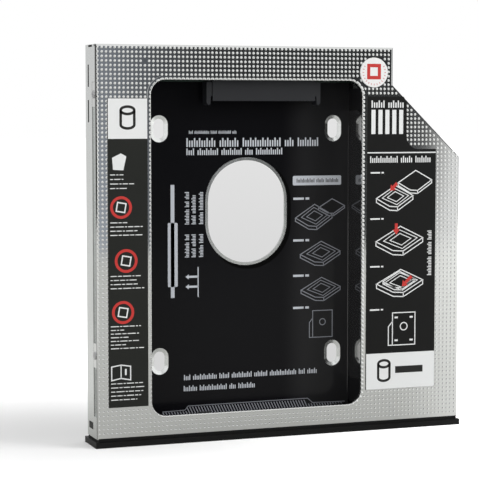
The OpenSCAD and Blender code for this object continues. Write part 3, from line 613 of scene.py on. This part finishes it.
def slab_sketch(x0, z0, x1, z1, thick, width, window):
    """A flat box seen from a corner, one corner cut: its outline, near sides and a smaller outline."""
    size = np.array([x1 - x0, z1 - z0 - thick])
    top = np.array([(0, 0.40), (0.36, 0.03), (0.58, 0.0), (1, 0.52), (0.52, 1)]) * size + (x0, z0 + thick)
    side = np.concatenate([top[:1], top[:4] - (0, thick), top[3:4]])
    shapes = [line(top, width, True), line(side, width), line([top[2], top[2] - (0, thick)], width)]
    if window:
        rhombus = np.array([(0.16, 0.42), (0.56, 0.1), (0.88, 0.52), (0.50, 0.86)]) * size + (x0, z0 + thick)
        middle = rhombus.mean(0)
        shapes.append(line(rhombus, width * 0.8, True))
        shapes.append(line(middle + (rhombus - middle) * window, width * 0.8, True))
    return shapes


def arrow(x, z, dx, dz, width):
    """A straight arrow whose head is a triangle as long as it is wide."""
    tip = np.array([x + dx, z + dz])
    ahead = np.array([dx, dz]) / math.hypot(dx, dz)
    left = np.array([-ahead[1], ahead[0]])
    neck = tip - ahead * width * 1.6
    head = patch(neck + left * width * 1.2, neck - left * width * 1.2, tip)
    return [line([(x, z), neck], width), head]


# %% [markdown]
# ## The left sticker
# A white square with a drum stands over a dark column of five signs, each with its rows of dashes.
# %% Left sticker's print
INK_PROUD = 0.012
label_deep = -0.3 - INK_PROUD
left_x0, left_z0, left_x1, left_z1 = left_box
white_shapes = [bar(left_x0 + 0.05, 96.2, left_x1 - 0.05, left_z1 - 0.05)]
white_shapes += [patch((-58.6, 86.4), (-55.2, 86.2), (-54.2, 90.6), (-56.0, 91.6), (-58.9, 90.2))]
white_shapes += [line([(-59.4, 19.0), (-56.3, 19.6), (-53.1, 19.0), (-53.1, 23.4), (-56.3, 23.9), (-59.4, 23.4)],
                      0.38, True), bar(-56.45, 19.6, -56.1, 23.8), bar(-55.0, 20.6, -54.4, 22.6)]
red_shapes = []
for sign_x, sign_z, sign_r in ((-56.0, 74.4, 3.6), (-54.4, 57.3, 3.8), (-55.5, 40.8, 3.7)):
    red_shapes.append(ring(sign_x, sign_z, sign_r - 0.9, sign_r))
    tilted = [(sign_x + 2.0 * math.cos(a), sign_z + 2.0 * math.sin(a)) for a in np.radians((35, 125, 215, 305))]
    white_shapes.append(line(tilted, 0.42, True))
ROW_ENDS = ((-55.2, -55.2, -51.4, -53.6), (-54.0, -48.5, -50.6, -49.0), (-49.6, -50.9, -50.6, -48.4),
            (-49.6, -55.2, -49.6, -53.2, -50.3, -54.6, -48.6), (-49.0, -48.6, -48.6, -49.6, -50.9))
for first, (row_top, step) in enumerate(((84.79, 1.44), (69.55, 1.33), (52.46, 1.31), (36.35, 1.18), (17.94, 1.31))):
    for row, row_end in enumerate(ROW_ENDS[first]):
        white_shapes += words(-59.6, row_end, row_top - row * step - 0.31, 0.62, first * 2 + row * 3, 0.45)
print_on("left_sticker_white", white_shapes, label_deep, ink_white)
print_on("left_sticker_red", red_shapes, label_deep, ink_red)
print_on("left_sticker_black", drum(-56.0, 99.5, -51.5, 106.4, 0.85), label_deep - INK_PROUD, ink_black)

# %% [markdown]
# ## The right sticker
# The long sticker has a block at its head, a line, four small drawings of a tray and a box with red
# arrows between them, and a white field with a drum at its foot.
# %% Right sticker's print
right_x0, right_z0, right_x1, right_z1 = right_box
white_shapes = ticks(31.0, 42.4, 106.1, 2.4, 3, 0.36, 0.2)
white_shapes += [bar(31.0 + k * 2.55, 97.3, 32.5 + k * 2.55, 105.4) for k in range(5)]
white_shapes += [bar(right_x0 + 0.1, 90.85, right_x1 - 0.1, 91.25), *ticks(30.6, 53.0, 87.7, 2.2, 2)]
white_shapes += [bar(right_x0 + 0.05, right_z0 + 0.05, right_x1 - 0.05, 23.3)]
for caption_z in (84.4, 68.9, 52.8, 38.2):
    white_shapes += words(30.8, 36.0, caption_z - 0.45, 0.8, 6)
white_shapes += slab_sketch(41.0, 77.2, 53.5, 85.0, 1.0, 0.34, 0)
white_shapes += slab_sketch(33.0, 71.5, 46.5, 80.0, 1.3, 0.34, 0.62)
white_shapes += slab_sketch(32.9, 56.4, 50.3, 66.2, 1.4, 0.34, 0.62)
white_shapes += slab_sketch(33.2, 42.3, 50.4, 51.6, 1.4, 0.34, 0.66)
white_shapes += slab_sketch(35.6, 44.6, 47.2, 51.0, 0.8, 0.3, 0)
white_shapes += [line([(39.2, 25.9), (39.2, 36.9), (47.6, 36.9), (47.6, 25.9)], 0.34, True),
                 line([(39.2, 25.9), (37.7, 25.9), (37.7, 32.2), (39.2, 34.0)], 0.34),
                 ring(43.4, 32.2, 1.1, 1.45)]
for x in (40.6, 46.2):
    white_shapes += [bar(x - 0.6, z - 0.3, x + 0.6, z + 0.3) for z in (35.3, 27.5)]
white_shapes += upright(ticks(49.3, 64.4, 0, 1.6, 4), 53.6)
print_on("right_sticker_white", white_shapes, label_deep, ink_white)
red_shapes = arrow(40.6, 80.8, -2.6, -2.6, 1.1) + arrow(40.4, 67.2, 0.0, -3.8, 1.1)
red_shapes += arrow(46.2, 49.2, -3.6, -3.4, 1.1)
print_on("right_sticker_red", red_shapes, label_deep - INK_PROUD, ink_red)
print_on("right_sticker_black", drum(34.0, 13.9, 38.2, 20.9, 0.85) + words(40.3, 50.6, 15.4, 4.2, 4, 0.55),
         label_deep - INK_PROUD, ink_black)

# %% [markdown]
# ## The round sticker
# A white disc with a plain red frame in the middle and a circle of short ticks near its edge.
# %% Round sticker's print
red_shapes = [line([(29.9, 116.1), (33.8, 116.1), (33.8, 120.1), (29.9, 120.1)], 1.15, True)]
tick = np.radians(np.arange(150, 391, 15))
tick_shapes = [line([(31.95 + 3.7 * math.cos(a), 117.8 + 3.7 * math.sin(a)),
                     (31.95 + 4.3 * math.cos(a), 117.8 + 4.3 * math.sin(a))], 0.28) for a in tick]
print_on("round_sticker_red", red_shapes, label_deep, ink_red)
print_on("round_sticker_ticks", tick_shapes, label_deep, ink_rose)

# %% [markdown]
# ## Print on the film
# The film is printed in white and grey: rows of dashes, a tall name plate, two arrows, four small
# drawings, and a hatched strip along the lower edge that warns where the sheet ends.
# %% Film's print
film_deep = 11.75 - INK_PROUD
film_white = ticks(-29.2, -12.8, 97.5, 1.1, 1) + ticks(-30.1, 16.9, 93.2, 2.9, 4, 0.30, 0.17)
film_white += ticks(-30.1, 3.8, 90.5, 2.2, 7)
film_white += [bar(-35.6, 43.5, -34.3, 80.8), rounded(-36.6, 47.1, -33.2, 68.3, 0.4)]
for column_x, first in ((-30.8, 0), (-28.5, 3), (-25.9, 5)):
    for z0, z1 in ((67.7, 78.4), (56.8, 64.2)):
        film_white += upright(ticks(z0, z1, 0, 1.5, first), column_x + 1.6)
film_white += [line([(-26.1, 43.5), (-26.1, 53.5)], 0.35)]
for z in (50.3, 47.0):
    film_white += arrow(-26.1, z, -4.4, 0, 0.7)
film_white += [rounded(7.6, 80.0, 25.3, 83.2, 0.5)]
for z in (75.5, 61.4, 49.4, 38.5):
    film_white += words(7.8, 13.6, z - 0.5, 1.0, 2, 0.75)
film_white += ticks(-31.1, 16.3, 15.9, 1.8, 1) + ticks(-31.2, -5.1, 12.2, 1.8, 5)
print_on("film_print_white", film_white, film_deep, ink_grey_light)
print_on("film_print_black", ticks(9.0, 24.0, 80.9, 1.4, 2), film_deep - INK_PROUD, ink_black)
film_grey = slab_sketch(17.0, 69.5, 26.6, 75.3, 0.8, 0.3, 0) + slab_sketch(8.6, 64.9, 22.0, 73.5, 1.1, 0.3, 0.6)
film_grey += slab_sketch(10.4, 52.6, 25.0, 60.9, 1.1, 0.3, 0.6) + slab_sketch(10.7, 40.6, 25.1, 48.6, 1.1, 0.3, 0.6)
film_grey += [line([(15.0, 28.2), (15.0, 37.3), (22.2, 37.3), (22.2, 28.2)], 0.28, True),
              line([(15.0, 28.2), (13.8, 28.2), (13.8, 33.3), (15.0, 34.8)], 0.28), ring(18.6, 33.4, 0.9, 1.2)]
for x in np.arange(-37.6, 26.5, 1.0):
    top = 6.9 if -29.5 < x < 14.2 else 5.5
    film_grey.append(patch((x, 3.3), (x + 0.36, 3.3), (x + 0.36 - (top - 3.3) * 0.48, top), (x - (top - 3.3) * 0.48, top)))
film_grey += [line([(-38.6, 5.7), (-30.8, 5.9), (-29.6, 7.2), (13.2, 7.4), (15.0, 5.8), (27.0, 5.6)], 0.22)]
print_on("film_print_grey", film_grey, film_deep, ink_grey)

# %% [markdown]
# ## Light, floor and backdrop
# Satin aluminium is mostly a soft mirror: its tone is the tone of what stands in front of it. The face is dark at the
# top and light at the bottom, so the room in front is dim above the table and the table is pale. Soft boxes at the
# left, at the right and above light the table, paper and plastic; mirroring surfaces don't see them.
# %% World, lamps and floor
scene = bpy.context.scene
scene.view_settings.view_transform = "Standard"

world = bpy.data.worlds.new("studio")
scene.world = world
new, link = emptied_tree(world)
world_out = new("ShaderNodeOutputWorld")
room = new("ShaderNodeBackground")
room.inputs["Color"].default_value = (1, 1, 1, 1)
room.inputs["Strength"].default_value = 0.62
backdrop_white = new("ShaderNodeBackground")
backdrop_white.inputs["Color"].default_value = (1, 1, 1, 1)
backdrop_white.inputs["Strength"].default_value = 1.0
paths = new("ShaderNodeLightPath")
choose = new("ShaderNodeMixShader")
link(paths.outputs["Is Camera Ray"], choose.inputs[0])
link(room.outputs[0], choose.inputs[1])
link(backdrop_white.outputs[0], choose.inputs[2])
link(choose.outputs[0], world_out.inputs[0])


def soft_box(name, spot, aim, size, watts):
    """A rectangular lamp at a place in metres, turned to face the aim point."""
    data = bpy.data.lights.new(name, "AREA")
    data.shape = "RECTANGLE"
    data.size, data.size_y = size
    data.energy = watts
    lamp = bpy.data.objects.new(name, data)
    lamp.location = spot
    lamp.rotation_euler = (Vector(aim) - Vector(spot)).to_track_quat("-Z", "Y").to_euler()
    lamp.visible_camera = lamp.visible_glossy = False
    scene.collection.objects.link(lamp)
    return lamp


CENTRE = (0.0, 0.0, 0.06)
soft_box("box_left", (-0.9, -0.55, 0.5), CENTRE, (0.7, 0.9), 3.5)
soft_box("box_right", (0.9, -0.6, 0.45), CENTRE, (0.6, 0.8), 8.0)
soft_box("box_top", (0.0, -0.1, 1.0), CENTRE, (1.2, 0.8), 3.0)

# Painted shadow: to the camera the table's glow fades out round a spot left of the base and a little behind it.
GLOW_NEAR, GLOW_FAR = 0.0, 0.70
PAINTED_SHADOW_SPOT = (-0.075, 0.03, 0.0)
floor_mesh = bpy.data.meshes.new("table")
floor_mesh.from_pydata([(-6, -6, 0), (6, -6, 0), (6, 6, 0), (-6, 6, 0)], [], [(0, 1, 2, 3)])
table = bpy.data.objects.new("table", floor_mesh)
scene.collection.objects.link(table)
table_finish = bpy.data.materials.new("table_white")
new, link = emptied_tree(table_finish)
table_out = new("ShaderNodeOutputMaterial")
table_paint = new("ShaderNodeBsdfDiffuse")
table_glow = new("ShaderNodeEmission")
table_sum = new("ShaderNodeAddShader")
table_paths = new("ShaderNodeLightPath")
table_tone = new("ShaderNodeMixRGB")
table_tone.inputs[1].default_value = (0.45, 0.45, 0.436, 1)
table_tone.inputs[2].default_value = (0.80, 0.80, 0.80, 1)
table_where = new("ShaderNodeTexCoord")
table_far = new("ShaderNodeVectorMath")
table_far.operation = "LENGTH"
painted_shadow_glow = new("ShaderNodeMapRange")
painted_shadow_glow.interpolation_type = "SMOOTHSTEP"
painted_shadow_glow.inputs["From Min"].default_value = 0.0
painted_shadow_glow.inputs["From Max"].default_value = 0.17
painted_shadow_glow.inputs["To Min"].default_value = GLOW_NEAR
painted_shadow_glow.inputs["To Max"].default_value = GLOW_FAR
table_xyz = new("ShaderNodeSeparateXYZ")
table_from = new("ShaderNodeVectorMath")
table_from.operation = "SUBTRACT"
table_from.inputs[1].default_value = PAINTED_SHADOW_SPOT
link(table_where.outputs["Object"], table_from.inputs[0])
link(table_from.outputs["Vector"], table_far.inputs[0])
link(table_where.outputs["Object"], table_xyz.inputs[0])
link(table_far.outputs["Value"], painted_shadow_glow.inputs["Value"])


def ramp_up(value, start, end, top):
    """A node that rises smoothly from 0 at start to top at end."""
    rise = new("ShaderNodeMapRange")
    rise.interpolation_type = "SMOOTHSTEP"
    rise.inputs["From Min"].default_value = start
    rise.inputs["From Max"].default_value = end
    rise.inputs["To Max"].default_value = top
    link(value, rise.inputs["Value"])
    return rise.outputs[0]


def added(first, second, factor=1.0):
    """A node for first * factor + second."""
    total = new("ShaderNodeMath")
    total.operation = "MULTIPLY_ADD"
    total.inputs[1].default_value = factor
    link(first, total.inputs[0])
    link(second, total.inputs[2])
    return total.outputs[0]


# Painted light: to mirroring and diffuse rays the table glows in patches behind the case, to its right and to its front
# left, weaker further behind.
behind = added(ramp_up(table_xyz.outputs["Y"], 0.0, 0.12, 0.22), ramp_up(table_xyz.outputs["Y"], 0.15, 0.7, -0.16))
slant = added(table_xyz.outputs["Y"], table_xyz.outputs["X"], 0.5)
at_right = ramp_up(slant, 0.035, 0.07, 0.29)
at_left = ramp_up(added(table_xyz.outputs["Y"], table_xyz.outputs["X"], 0.4), -0.2, -0.35, 0.22)
glow = new("ShaderNodeMapRange")
link(table_paths.outputs["Is Camera Ray"], glow.inputs["Value"])
link(added(added(behind, at_right), at_left), glow.inputs["To Min"])
link(painted_shadow_glow.outputs[0], glow.inputs["To Max"])
link(table_paths.outputs["Is Camera Ray"], table_tone.inputs[0])
link(table_tone.outputs[0], table_paint.inputs["Color"])
link(glow.outputs[0], table_glow.inputs["Strength"])
link(table_paint.outputs[0], table_sum.inputs[0])
link(table_glow.outputs[0], table_sum.inputs[1])
link(table_sum.outputs[0], table_out.inputs[0])
floor_mesh.materials.append(table_finish)

# %% [markdown]
# ## What the metal mirrors
# The flat of the cover mirrors one narrow patch of the room, up and to the right of the camera. In
# the photograph that patch is dark, with a paler room to its left and a bright screen to its right.
# Dark flags at both sides draw the fine dark line along the rounded edges, and a bright sheet above
# lights the upper edges. These cards are seen by mirroring surfaces only.
# %% Cards that the metal mirrors


def mirror_card(name, corners, axis, tones, low_tone=0.0, slant=0.0):
    """A glowing card whose tone follows stops along one axis; at the table it is 1 + low_tone times that.

    A slant leans the stops: they follow the axis minus slant * Z.
    """
    mesh = bpy.data.meshes.new(name)
    mesh.from_pydata(corners, [], [(0, 1, 2, 3)])
    card = bpy.data.objects.new(name, mesh)
    scene.collection.objects.link(card)
    card.visible_camera = card.visible_diffuse = card.visible_shadow = False
    material = bpy.data.materials.new(name)
    new, link = emptied_tree(material)
    out, light = new("ShaderNodeOutputMaterial"), new("ShaderNodeEmission")
    where, axes = new("ShaderNodeTexCoord"), new("ShaderNodeSeparateXYZ")
    ramp, span = new("ShaderNodeValToRGB"), new("ShaderNodeMapRange")
    first, last = tones[0][0], tones[-1][0]
    span.inputs["From Min"].default_value = first
    span.inputs["From Max"].default_value = last
    stops = ramp.color_ramp.elements
    for spot, tone in tones[1:-1]:
        stops.new((spot - first) / (last - first)).color = (*tone, 1)
    stops[0].color, stops[len(stops) - 1].color = (*tones[0][1], 1), (*tones[-1][1], 1)
    link(where.outputs["Object"], axes.inputs[0])
    lean = new("ShaderNodeMath")
    lean.operation = "MULTIPLY_ADD"
    lean.inputs[1].default_value = -slant
    link(axes.outputs["Z"], lean.inputs[0])
    link(axes.outputs[axis], lean.inputs[2])
    link(lean.outputs[0], span.inputs["Value"])
    link(span.outputs[0], ramp.inputs[0])
    lift, sum_up = new("ShaderNodeMapRange"), new("ShaderNodeMixRGB")
    sum_up.blend_type = "MULTIPLY"
    sum_up.inputs[2].default_value = (1 + low_tone, 1 + low_tone, 1 + low_tone, 1)
    lift.inputs["From Max"].default_value = 0.13
    lift.inputs["To Min"].default_value = 1.0
    lift.inputs["To Max"].default_value = 0.0
    link(axes.outputs["Z"], lift.inputs["Value"])
    link(lift.outputs[0], sum_up.inputs[0])
    link(ramp.outputs[0], sum_up.inputs[1])
    link(sum_up.outputs[0], light.inputs["Color"])
    link(light.outputs[0], out.inputs[0])
    mesh.materials.append(material)


def upright_corners(x0, y0, x1, y1, top):
    """The corners of a card that stands on the table from one place to another."""
    return [(x0, y0, 0), (x1, y1, 0), (x1, y1, top), (x0, y0, top)]


BRIGHT, FLAG, WHITE = (0.97, 0.97, 0.96), (0.02, 0.02, 0.02), (1.1, 1.1, 1.1)
mirror_card("card_dark", upright_corners(0.08, -0.75, 0.53, -0.75, 0.23), "X",
            [(0.08, (0.42, 0.45, 0.50)), (0.155, (0.165, 0.178, 0.20)), (0.19, (0.070, 0.075, 0.082)),
             (0.24, (0.030, 0.032, 0.033)), (0.53, (0.028, 0.030, 0.031))], 0.7)
mirror_card("card_bright", [(0.405, -0.749, 0), (1.6, -0.749, 0), (1.6, -0.749, 0.23), (0.44, -0.749, 0.23)], "X",
            [(0.405, (0.03, 0.03, 0.03)), (0.417, (0.34, 0.34, 0.34)), (0.434, (0.85, 0.85, 0.85)), (1.6, BRIGHT)],
            0.0, 0.15)
mirror_card("card_above", [(0.08, -0.75, 0.23), (1.6, -0.75, 0.23), (1.6, -0.75, 1.0), (0.08, -0.75, 1.0)], "X",
            [(0.08, (0.92, 0.92, 0.92)), (1.6, BRIGHT)])
mirror_card("card_front", upright_corners(-1.1, -1.1, -0.05, -1.1, 0.9), "X", [(-1.1, WHITE), (-0.05, (0.7, 0.7, 0.7))])
mirror_card("flag_left", upright_corners(-1.1, -0.9, -1.1, 1.2, 1.2), "Y", [(-0.9, FLAG), (1.2, FLAG)])
mirror_card("flag_right", upright_corners(1.1, -0.3, 1.1, 1.8, 1.2), "Y", [(-0.3, FLAG), (1.8, FLAG)])
mirror_card("card_top", [(-1.0, -0.6, 1.2), (1.0, -0.6, 1.2), (1.0, 0.8, 1.2), (-1.0, 0.8, 1.2)], "X",
            [(-1.0, (0.8, 0.8, 0.8)), (1.0, (0.8, 0.8, 0.8))])

# %% [markdown]
# ## What shows through the holes
# The backdrop behind the caddy lies in its shade, and the photograph shows it light grey through the
# big hole and the four slots, a little darker further down. Grey cards stand close behind these
# holes. They glow to the front only and vanish from behind, so they can't be seen past the case.
# %% Grey cards behind the holes
HOLES = [(-9.0, 71.6, 14.5, 18.0), *((x, z, 2.6, 4.2) for x in (-39.46, 22.26) for z in (22.6, 99.2))]
shade_points = np.concatenate([place([x - a, x + a, x + a, x - a], 13.0, [z - b, z - b, z + b, z + b])
                               for x, z, a, b in HOLES])
shade_mesh = bpy.data.meshes.new("shade_cards")
shade_mesh.from_pydata(shade_points.tolist(), [], np.arange(len(shade_points)).reshape(-1, 4).tolist())
shade = bpy.data.objects.new("shade_cards", shade_mesh)
scene.collection.objects.link(shade)
shade.visible_glossy = shade.visible_diffuse = shade.visible_shadow = False
shade_grey = bpy.data.materials.new("shade_grey")
new, link = emptied_tree(shade_grey)
shade_light, shade_out = new("ShaderNodeEmission"), new("ShaderNodeOutputMaterial")
shade_side, shade_clear = new("ShaderNodeNewGeometry"), new("ShaderNodeBsdfTransparent")
shade_where, shade_axes = new("ShaderNodeTexCoord"), new("ShaderNodeSeparateXYZ")
shade_tone, shade_mix = new("ShaderNodeMapRange"), new("ShaderNodeMixShader")
shade_tone.inputs["From Min"].default_value = CASE_Z + 22.6 * MM
shade_tone.inputs["From Max"].default_value = CASE_Z + 99.2 * MM
shade_tone.inputs["To Min"].default_value = 0.655
shade_tone.inputs["To Max"].default_value = 0.765
link(shade_where.outputs["Object"], shade_axes.inputs[0])
link(shade_axes.outputs["Z"], shade_tone.inputs["Value"])
link(shade_tone.outputs[0], shade_light.inputs["Strength"])
link(shade_side.outputs["Backfacing"], shade_mix.inputs[0])
link(shade_light.outputs[0], shade_mix.inputs[1])
link(shade_clear.outputs[0], shade_mix.inputs[2])
link(shade_mix.outputs[0], shade_out.inputs[0])
shade_mesh.materials.append(shade_grey)
